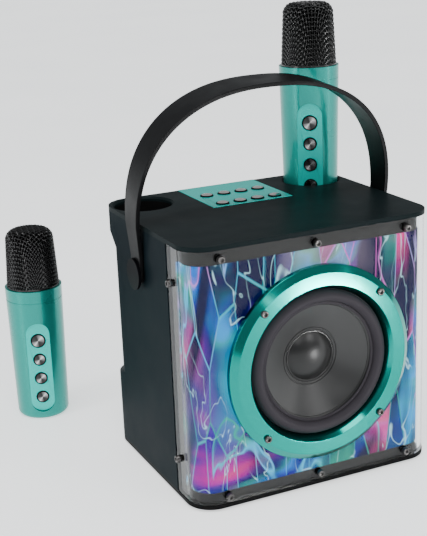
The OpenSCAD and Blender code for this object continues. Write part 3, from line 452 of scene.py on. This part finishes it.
def make_materials():
    dull = {"Specular IOR Level": 0.03}
    calm = {"spread": 0.06, "shift": 0.03, "sockets": dull}
    return {
        "rubber": grained("black_rubber", (0.008, 0.008, 0.009), 0.62, 1500, sockets=dull),
        "dark_plastic": grained("dark_plastic", (0.006, 0.006, 0.006), 0.45, **calm),
        "frame_plastic": grained("frame_plastic", (0.03, 0.028, 0.027), 0.45, **calm),
        "shell_plastic": grained("shell_plastic", (0.005, 0.01, 0.013), 0.5, 2200, **calm),
        "cover_plastic": grained("cover_plastic", (0.007, 0.012, 0.013), 0.4, 2200, **calm),
        "picture": lit_picture(),
        "clear": clear_acrylic(),
        "screw_steel": metal("screw_steel", (0.1, 0.095, 0.093), 0.32),
        "teal_gloss": metallic_paint("teal_gloss", TEAL, 0.16, {"Metallic": 1.0}),
        "teal_satin": metallic_paint("teal_satin", SATIN_TEAL, 0.3,
                                     {"Metallic": 0.3, "Specular IOR Level": 0.3}),
        "mic_paint": metallic_paint("mic_paint", MIC_TEAL, 0.3,
                                    {"Metallic": 0.55, "Specular IOR Level": 0.3,
                                     "Coat Weight": 0.25, "Coat Roughness": 0.06}),
        "basket_metal": grained("basket_paint", (0.02, 0.02, 0.022), 0.4),
        "magnet": metal("magnet_iron", (0.14, 0.14, 0.15), 0.45),
        "surround_rubber": grained("surround_rubber", (0.04, 0.036, 0.042), 0.4, 1200, **calm),
        "spider_cloth": grained("spider_cloth", (0.4, 0.25, 0.1), 0.9, 900),
        "cone": grained("cone_plastic", (0.014, 0.014, 0.014), 0.34, 1500, spread=0.06,
                        sockets={"Specular IOR Level": 0.5}),
        "cap_gloss": grained("cap_gloss", (0.008, 0.008, 0.008), 0.3, 1500, spread=0.06,
                             sockets={"Specular IOR Level": 0.35}),
        "copper": metal("copper_wire", (0.8, 0.36, 0.18), 0.3, 3000),
        "board": grained("board", (0.01, 0.12, 0.05), 0.35, 700),
        "battery_sleeve": grained("battery_sleeve", (0.02, 0.09, 0.3), 0.3, 400),
        "light_board": grained("light_board", (0.75, 0.74, 0.7), 0.4, 700),
        "socket_plastic": grained("socket_plastic", (0.015, 0.015, 0.016), 0.4),
        "handle_plastic": grained("handle_plastic", (0.003, 0.003, 0.004), 0.34, **calm),
        "handle_rubber": grained("handle_rubber", (0.0025, 0.0025, 0.003), 0.42, 1800,
                                 spread=0.06, sockets={"Specular IOR Level": 0.14}),
        "chrome": metal("chrome", (0.8, 0.74, 0.72), 0.18, 400),
        "grille_steel": metallic_paint("grille_wire", (0.008, 0.008, 0.008), 0.24,
                                       {"Metallic": 0.2, "Specular IOR Level": 0.55}),
        "spun_metal": spun_metal(),
        "capsule": metal("capsule_metal", (0.5, 0.5, 0.5), 0.4),
        "foam": grained("black_foam", (0.002, 0.002, 0.002), 0.95, 900, 0.0004, sockets=dull),
    }


MATERIALS = make_materials()

# Softened edges, in millimetres, of the CAD nodes that stay in view
EDGE_RADII = {
    "cabinet_shell": 0.5, "top_cover": 0.6, "control_panel": 0.3, "bottom_plate": 0.4,
    "base_ring": 0.5, "left_mic_cup": 0.25, "right_mic_cup": 0.25,
    "handle_strap": 0.7, "handle_pins": 0.6, "handle_spacers": 0.3,
    "rear_cover": 0.3, "rear_sockets": 0.15, "power_switch": 0.25, "rear_cover_screws": 0.2,
    "held_mic_body": 0.4, "standing_mic_body": 0.4,
    "held_mic_panel": 0.25, "standing_mic_panel": 0.25,
    "bottom_screws": 0.2, "lens_spacers": 0.15,
}
WELD_MM = 0.002
SHARP_ANGLE = math.radians(28)


def soften(part, radius):
    """Joins the corners of a CAD mesh for shading and rounds its edges, by modifiers only."""
    weld = part.modifiers.new("weld", "WELD")
    weld.merge_threshold = WELD_MM * MM
    edge = part.modifiers.new("edge", "BEVEL")
    edge.width = radius * MM
    edge.segments = 2
    edge.limit_method = "ANGLE"
    edge.angle_limit = SHARP_ANGLE
    edge.use_clamp_overlap = True
    part.modifiers.new("facing", "WEIGHTED_NORMAL")


# Nodes with a finish of their own within their slot
FINISH_OF = {
    "held_mic_body": "mic_paint", "standing_mic_body": "mic_paint", "front_frame": "frame_plastic",
}


def dress_frame():
    for name, part in frame["nodes"].items():
        part.data.materials.clear()
        part.data.materials.append(MATERIALS[FINISH_OF.get(name, SLOT_OF[name])])
        if name in EDGE_RADII:
            soften(part, EDGE_RADII[name])


# ---------------------------------------------------------------- mesh tools
def piece(name, corners, faces, slot, place=None, body=None, stands_for=(), finish=None):
    """Makes a piece from corners in millimetres, in the frame that place gives, on its body."""
    mesh = bpy.data.meshes.new(name)
    mesh.from_pydata([Vector(corner) * MM for corner in corners], [], faces)
    mesh.validate()
    mesh.shade_smooth()
    mesh.set_sharp_from_angle(angle=math.radians(35))
    mesh.materials.append(MATERIALS[finish or slot])
    made = add_object(name, mesh)
    if place is not None:
        made.matrix_world = place
    if stands_for:
        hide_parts(*stands_for)
    if body:
        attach(made, body)
    return made


def lathe(profile, segments=96, shape=None):
    """Turns a closed profile of (radius, height) or (radius, height, mark) round local Z.

    A point on the axis becomes one corner. shape(mark, angle) scales the radius of marked points.
    """
    corners, rows = [], []
    for point in profile:
        radius, height = point[:2]
        if radius < 1e-6:
            rows.append([len(corners)] * segments)
            corners.append((0, 0, height))
            continue
        row = []
        for i in range(segments):
            angle = 2 * math.pi * i / segments
            grown = radius * (shape(point[2], angle) if shape and len(point) > 2 else 1)
            row.append(len(corners))
            corners.append((grown * math.cos(angle), grown * math.sin(angle), height))
        rows.append(row)
    faces = []
    for k in range(len(rows)):
        low, high = rows[k], rows[(k + 1) % len(rows)]
        if low[0] == low[1] and high[0] == high[1]:
            continue
        for i in range(segments):
            j = (i + 1) % segments
            face = []
            for corner in (low[i], low[j], high[j], high[i]):
                if corner not in face:
                    face.append(corner)
            if len(face) > 2:
                faces.append(face)
    return corners, faces


def rounded(points, steps=3):
    """Closed profile of (x, y) from corners (x, y, radius), each rounded with its radius."""
    made = []
    for i, (x, y, radius) in enumerate(points):
        here = Vector((x, y))
        to_last = (Vector(points[i - 1][:2]) - here).normalized()
        to_next = (Vector(points[(i + 1) % len(points)][:2]) - here).normalized()
        if not radius:
            made.append((x, y))
            continue
        half = to_last.angle(to_next) / 2
        middle = here + (to_last + to_next).normalized() * radius / math.sin(half)
        first = here + to_last * radius / math.tan(half) - middle
        turn = to_last.angle_signed(to_next)
        sweep = math.copysign(math.pi - abs(turn), turn)
        for k in range(steps + 1):
            spoke = first.copy()
            spoke.rotate(Matrix.Rotation(sweep * k / steps, 2))
            made.append(tuple(middle + spoke))
    return made


def arc(middle, radius, start, end, steps=8):
    """Points (x, y) of an arc between two angles in degrees."""
    turns = [math.radians(start + (end - start) * i / steps) for i in range(steps + 1)]
    return [(middle[0] + radius * math.cos(t), middle[1] + radius * math.sin(t)) for t in turns]


def dome_arc(radius, height, top, steps):
    """Profile of a dome from its edge to its top on the axis."""
    ball = (radius ** 2 + height ** 2) / (2 * height)
    half = math.degrees(math.asin(radius / ball))
    return arc((0, top - ball), ball, 90 - half, 90, steps)[:-1] + [(0, top)]


def moved(x, y, z, turn=None):
    """Placing matrix from a point in millimetres and a turn."""
    shift = Matrix.Translation(Vector((x, y, z)) * MM)
    return shift @ turn if turn else shift


def facing(direction, at):
    """Placing matrix at a point in millimetres whose local Z looks along direction."""
    turn = Vector(direction).to_track_quat("Z", "Y").to_matrix().to_4x4()
    return moved(*at, turn)


# ---------------------------------------------------------------- screws
HEX = math.pi / 3


def screw_shape(mark, angle):
    """Radius factors: 'hex' is a hexagon seen from its corner radius, 'knurl' a fluted side."""
    if mark == "hex":
        return math.cos(HEX / 2) / math.cos(angle % HEX - HEX / 2)
    return 1 + 0.025 * math.cos(angle * 24)


def socket_screw(name, at, direction, shank, node):
    """Socket-head screw whose head stands at a point and looks along direction."""
    r = SCREW_HEAD_D / 2
    bore = SCREW_D / 2
    h = SCREW_HEAD_H
    profile = [
        (0, -shank), (bore - 0.4, -shank), (bore, 0.4 - shank), (bore, 0), (r - 0.15, 0),
        (r, 0.15, "knurl"), (r, h - 0.6, "knurl"), (r - 0.12, h - 0.3), (r - 0.4, h - 0.05),
        (r - 0.6, h), (bore + 0.25, h), (bore + 0.05, h - 0.12, "hex"), (bore, h - 0.3, "hex"),
        (bore, h / 2, "hex"), (0, h / 2 - 0.3),
    ]
    corners, faces = lathe(profile, 48, screw_shape)
    piece(name, corners, faces, "screw_steel", facing(direction, at), "cabinet", [node])


def make_screws():
    low, high = mm_box("lens_screws")
    head_r = SCREW_HEAD_D / 2
    face_x = high.x - SCREW_HEAD_H
    face_y = low.y + SCREW_HEAD_H
    spots = []
    for z in (low.z + head_r, high.z - head_r):
        for x in (-LENS_SCREW_X, 0, LENS_SCREW_X):
            spots.append(((x, face_y, z), (0, -1, 0)))
    for side in (-1, 1):
        for z in (-LENS_SIDE_SCREW_Z, LENS_SIDE_SCREW_Z):
            spots.append(((side * face_x, LENS_SIDE_SCREW_Y, MIDDLE_Z + z), (side, 0, 0)))
    for i, (at, direction) in enumerate(spots):
        socket_screw(f"lens_screw_{i}", at, direction, LENS_SCREW_SHANK, "lens_screws")
    seat_y = mm_box("ring_screws")[0].y + SCREW_HEAD_H
    off = RING_SCREW_R * math.sqrt(0.5)
    for i, (x, z) in enumerate(((-off, -off), (off, -off), (-off, off), (off, off))):
        at = (x, seat_y, WOOFER_Z + z)
        socket_screw(f"ring_screw_{i}", at, (0, -1, 0), RING_SCREW_SHANK, "ring_screws")


# ---------------------------------------------------------------- woofer
def make_woofer():
    """Surround, cone and dust cap, turned round the woofer's axis. Heights are forward of y = 0."""
    axis = facing((0, -1, 0), (0, 0, WOOFER_Z))
    low, high = mm_box("driver_cone")
    rim, face = high.x, -low.y

    def slope(r, lift=0.0):
        return (r, face - (rim - r) * CONE_SLOPE + lift)

    cap_low, cap_high = mm_box("dust_cap")
    cap_r, cap_top = cap_high.x, -cap_low.y
    cap_foot = slope(cap_r)[1]
    front = [
        slope(rim, -0.1), slope(rim - 0.5), slope(rim - 3.1), slope(rim - 3.3, -0.35),
        slope(rim - 3.7, -0.35), slope(rim - 3.9), slope(cap_r + 3.0), slope(cap_r + 2.7, 0.5),
        slope(cap_r + 2.2, 0.5), slope(cap_r + 1.9, 0.05), slope(cap_r + 1.2, 0.05),
        slope(cap_r + 0.9, 0.4), slope(cap_r + 0.4, 0.4), slope(cap_r + 0.2), slope(cap_r - 3),
    ]
    back = [slope(cap_r - 3, -CONE_T), slope(rim, -CONE_T)]
    corners, faces = lathe(front + back, 128)
    piece("woofer_cone", corners, faces, "cone", axis, "woofer", ["driver_cone"])

    # dust cap: a high dome inside a narrow rim
    cap = [
        (0, cap_foot - 0.5), (cap_r - 0.5, cap_foot - 0.5), (cap_r, cap_foot),
        (cap_r, cap_foot + 0.4), (cap_r - 0.2, cap_foot + 0.65), (cap_r - 0.8, cap_foot + 0.7),
        (cap_r - 1.1, cap_foot + 0.5),
    ]
    cap += dome_arc(cap_r - 1.2, cap_top - cap_foot - 0.4, cap_top, 14)
    corners, faces = lathe(cap, 96)
    piece("woofer_cap", corners, faces, "cap_gloss", axis, "woofer", ["dust_cap"])

    # surround: the outer half of the roll rides on the cabinet, the inner half is a piece on no body, its place
    # baked into its mesh
    low, high = mm_box("driver_surround")
    crest = -low.y
    foot = crest - ROLL_R
    middle = (ROLL_MIDDLE, foot)
    lip_r = high.x
    outer = arc(middle, ROLL_R, 90, 0, 14)
    outer += [(lip_r - 0.3, foot), (lip_r, foot - 0.3), (lip_r, foot - RUBBER_T)]
    outer += [(ROLL_MIDDLE + ROLL_R - RUBBER_T, foot - RUBBER_T)]
    outer += arc(middle, ROLL_R - RUBBER_T, 0, 90, 14)
    corners, faces = lathe(outer, 128)
    piece("surround_outer", corners, faces, "surround_rubber", axis, "cabinet", ["driver_surround"])
    hem = ROLL_MIDDLE - ROLL_R
    inner = arc(middle, ROLL_R, 90, 180, 14)
    inner += [
        (hem - 0.3, foot + 0.25), (hem - 2.0, foot + 0.3), (hem - 2.3, foot),
        (hem - 2.2, foot - 0.3), (hem + RUBBER_T, foot - 0.3),
    ]
    inner += arc(middle, ROLL_R - RUBBER_T, 180, 90, 14)
    corners, faces = lathe(inner, 128)
    roll = piece("surround_inner", corners, faces, "surround_rubber", axis,
                 stands_for=["driver_surround"])
    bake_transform(roll)


# ---------------------------------------------------------------- trim ring
def make_trim_ring():
    """The polished ring round the woofer, with eased edges. Heights are forward of y = 0."""
    low, high = mm_box("trim_ring")
    r, face = high.x, -low.y
    back = -high.y
    cover = face - RING_PROUD
    section = [
        (RING_IN_R, cover + 1.0, 0.2), (RING_IN_R + RING_CONE, face, 0.5),
        (r - RING_CHAMFER, face, 0.35), (r, face - RING_CHAMFER_D, 0.8),
        (r, cover - 0.2, 0.2), (RING_COLLAR_R, cover - 0.2, 0), (RING_COLLAR_R, back, 0.2),
        (RING_SEAT_R, back, 0.2), (RING_SEAT_R, cover, 0), (RING_LIP_R, cover, 0),
        (RING_LIP_R, cover + 1.0, 0),
    ]
    corners, faces = lathe(rounded(section), 160)
    axis = facing((0, -1, 0), (0, 0, WOOFER_Z))
    ring = piece("ring_polished", corners, faces, "teal_gloss", axis, "cabinet", ["trim_ring"])
    ring.modifiers.new("facing", "WEIGHTED_NORMAL").keep_sharp = True


# ---------------------------------------------------------------- top buttons
def make_top_keys():
    """Eight domed buttons, each with its skirt, flange and stem."""
    flange_z = mm_box("top_cover")[1].z - COVER_T - 0.3
    flange_foot = flange_z - 1.5
    for joint_name in [name for name in JOINTS if name.endswith("_press") and "mic" not in name]:
        key = joint_name.removesuffix("_press")
        node = key + "_button"
        low, high = mm_box(node)
        x, y = (low.x + high.x) / 2, (low.y + high.y) / 2
        top = high.z
        flange_r = (high.x - low.x) / 2
        edge = top - 1.0
        skirt = [
            (0, low.z), (KEY_STEM_R, low.z), (KEY_STEM_R, flange_foot), (flange_r, flange_foot),
            (flange_r, flange_z), (KEY_R, flange_z), (KEY_R, edge - 0.2), (KEY_R - 0.2, edge),
            (KEY_R - 0.6, edge), (KEY_R - 0.75, edge - 0.6), (0, edge - 0.6),
        ]
        place = moved(x, y, 0)
        corners, faces = lathe(skirt, 64)
        piece(key + "_key_rim", corners, faces, "dark_plastic", place, key + "_key", [node])
        dome_r = KEY_R - 0.8
        dome = [(0, edge - 0.5), (dome_r, edge - 0.5)] + dome_arc(dome_r, KEY_DOME_H, top, 8)
        corners, faces = lathe(dome, 64)
        piece(key + "_key_dome", corners, faces, "chrome", place, key + "_key", [node])


# ---------------------------------------------------------------- microphones
def mic_radius(z):
    low, high = mm_box("standing_mic_body")
    return (high.x - low.x) / 2 - MIC_FLARE * (1 - z / MIC_BODY_H)


def grille_point(s):
    """Radius, height, and the outward direction (r, z), at arc length s from the grille's top."""
    top = MIC_BODY_H + GRILLE_H
    flat = GRILLE_TOP_R - GRILLE_EDGE_R
    bend = GRILLE_EDGE_R * math.pi / 2
    if s < flat:
        return s, top, 0, 1
    if s < flat + bend:
        a = (s - flat) / GRILLE_EDGE_R
        r = flat + GRILLE_EDGE_R * math.sin(a)
        return r, top - GRILLE_EDGE_R * (1 - math.cos(a)), math.sin(a), math.cos(a)
    side = Vector((GRILLE_FOOT_R - GRILLE_TOP_R, GRILLE_EDGE_R - GRILLE_H)).normalized()
    down = s - flat - bend
    return GRILLE_TOP_R + side.x * down, top - GRILLE_EDGE_R + side.y * down, -side.y, side.x


GRILLE_LENGTH = (
    GRILLE_TOP_R - GRILLE_EDGE_R + GRILLE_EDGE_R * math.pi / 2
    + math.hypot(GRILLE_FOOT_R - GRILLE_TOP_R, GRILLE_H - GRILLE_EDGE_R)
)


def cloth_reach(u, v):
    """Arc length from the top at cloth place (u, v).

    The cloth lies evenly on top, and is drawn to the corners as it goes down the sides.
    """
    widest = max(abs(u), abs(v))
    t = min(1, max(0, (widest - CLOTH_EVEN_R) / CLOTH_CHANGE))
    power = 2 + CLOTH_DRAW * t * t * (3 - 2 * t)
    return (abs(u) ** power + abs(v) ** power) ** (1 / power)


def wire_point(u, v, lift, turn):
    """Place and outward direction of cloth point (u, v), lifted from the middle of the weave."""
    r, z, out_r, out_z = grille_point(min(cloth_reach(u, v), GRILLE_LENGTH))
    angle = math.atan2(v, u) + turn
    depth = WIRE_D - lift
    r -= out_r * depth
    z -= out_z * depth
    out = Vector((out_r * math.cos(angle), out_r * math.sin(angle), out_z))
    return Vector((r * math.cos(angle), r * math.sin(angle), z)), out


def weave(corners, faces, crosswise, index, turn):
    """Adds one wire of the cloth, a tube that goes over and under the wires that cross it."""
    fixed = index * WIRE_PITCH
    step = WIRE_PITCH / 4

    def cloth(t):
        return (fixed, t) if crosswise else (t, fixed)

    if cloth_reach(*cloth(0)) >= GRILLE_LENGTH:
        return
    low, reach = 0.0, GRILLE_LENGTH
    for _ in range(30):
        half = (low + reach) / 2
        if cloth_reach(*cloth(half)) < GRILLE_LENGTH:
            low = half
        else:
            reach = half
    count = int(reach / step)
    stops = [-reach] + [i * step for i in range(-count, count + 1)] + [reach]
    swing = -WIRE_D / 2 if crosswise else WIRE_D / 2
    points = [
        wire_point(*cloth(t), swing * math.cos(math.pi * (t / WIRE_PITCH + index)), turn)
        for t in stops
    ]
    first = len(corners)
    for k, (at, out) in enumerate(points):
        along = points[min(k + 1, len(points) - 1)][0] - points[max(k - 1, 0)][0]
        across = along.cross(out).normalized()
        upward = across.cross(along).normalized()
        for i in range(WIRE_SIDES):
            a = 2 * math.pi * i / WIRE_SIDES
            corners.append(at + (across * math.cos(a) + upward * math.sin(a)) * WIRE_D / 2)
    for k in range(len(points) - 1):
        ring = first + k * WIRE_SIDES
        for i in range(WIRE_SIDES):
            j = (i + 1) % WIRE_SIDES
            faces.append((ring + i, ring + WIRE_SIDES + i, ring + WIRE_SIDES + j, ring + j))
    faces.append([first + i for i in range(WIRE_SIDES)])
    last = first + (len(points) - 1) * WIRE_SIDES
    faces.append([last + i for i in range(WIRE_SIDES)][::-1])


def make_grille(mic, place, turn):
    """Wire cloth pressed over a dome, a foot ring, and black foam behind the wires."""
    node = mic + "_grille"
    corners, faces = [], []
    wires = int(GRILLE_LENGTH / WIRE_PITCH)
    for index in range(-wires, wires + 1):
        for crosswise in (False, True):
            weave(corners, faces, crosswise, index, turn)
    piece(mic + "_grille_wires", corners, faces, "grille_steel", place, mic, [node])
    foot = MIC_BODY_H
    outer, inner = GRILLE_FOOT_R, GRILLE_FOOT_R - 2.4
    ring = [
        (outer, foot), (outer, foot + 0.2), (outer - 0.05, foot + 1.2), (outer - 0.6, foot + 1.6),
        (inner, foot + 1.6), (inner, foot),
    ]
    corners, faces = lathe(ring, 96)
    piece(mic + "_grille_foot", corners, faces, "grille_steel", place, mic, [node])
    depth = 2 * WIRE_D + 0.2
    steps = 40
    outline = [(0, foot)]
    for i in range(steps):
        r, z, out_r, out_z = grille_point(GRILLE_LENGTH * (1 - i / steps))
        outline.append((r - out_r * depth, z - out_z * depth))
    outline.append((0, foot + GRILLE_H - depth))
    corners, faces = lathe(outline, 64)
    piece(mic + "_foam", corners, faces, "grille_steel", place, mic, [node], finish="foam")


def make_mic_keys(mic, place):
    """Four turned metal buttons, each in a dark ring, on the flat panel of a microphone. The ring is a dark collar
    whose dark lip round the face also stands for painted shade in the recess round each button.
    """
    upright = Matrix.Rotation(math.pi / 2, 4, "X")
    for i, key in enumerate(MIC_KEYS):
        node = f"{mic}_{key}_button"
        r = MIC_KEY_D[i] / 2
        z = MIC_KEY_Z - i * MIC_KEY_PITCH
        panel = mic_radius(z) - MIC_PANEL_SINK
        face = panel + MIC_KEY_PROUD
        rim = panel - MIC_PANEL_T - 0.35
        # painted shade: the collar's dark lip round the metal face stands partly for the shade in the recess round
        # the button
        collar = [
            (0, rim - 2.4), (KEY_STEM_R, rim - 2.4), (KEY_STEM_R, rim - 1.2),
            (r + 0.8, rim - 1.2), (r + 0.8, rim), (r, rim),
            (r, face - 0.25), (r - 0.08, face - 0.08), (r - 0.25, face),
            (r - 0.6, face), (r - 0.75, face - 0.5), (0, face - 0.5),
        ]
        spot = place @ moved(0, 0, z, upright)
        corners, faces = lathe(collar, 64)
        piece(f"{mic}_{key}_rim", corners, faces, "dark_plastic", spot, f"{mic}_{key}_key", [node])
        disc = [
            (0, face - 0.45), (r - 0.78, face - 0.45), (r - 0.78, face - 0.12),
            (r - 0.9, face - 0.02), (1.2, face - 0.25), (0, face - 0.28),
        ]
        corners, faces = lathe(disc, 64)
        piece(f"{mic}_{key}_face", corners, faces, "spun_metal", spot, f"{mic}_{key}_key", [node])


def make_mics():
    """Places both microphones by their bodies' boxes and by the way their buttons press."""
    for mic, weave_turn in (("held_mic", 9), ("standing_mic", 51)):
        low, high = mm_box(mic + "_body")
        press = Vector(JOINTS[mic + "_power_press"]["axis"])
        turn = math.atan2(press.y, press.x) - math.pi / 2
        foot = ((low.x + high.x) / 2, (low.y + high.y) / 2, low.z)
        make_grille(mic, moved(*foot), turn + math.radians(weave_turn))
        make_mic_keys(mic, moved(*foot, Matrix.Rotation(turn, 4, "Z")))


# ---------------------------------------------------------------- the scene
make_camera()
make_lights()
make_floor()
dress_frame()
make_screws()
make_woofer()
make_trim_ring()
make_top_keys()
make_mics()
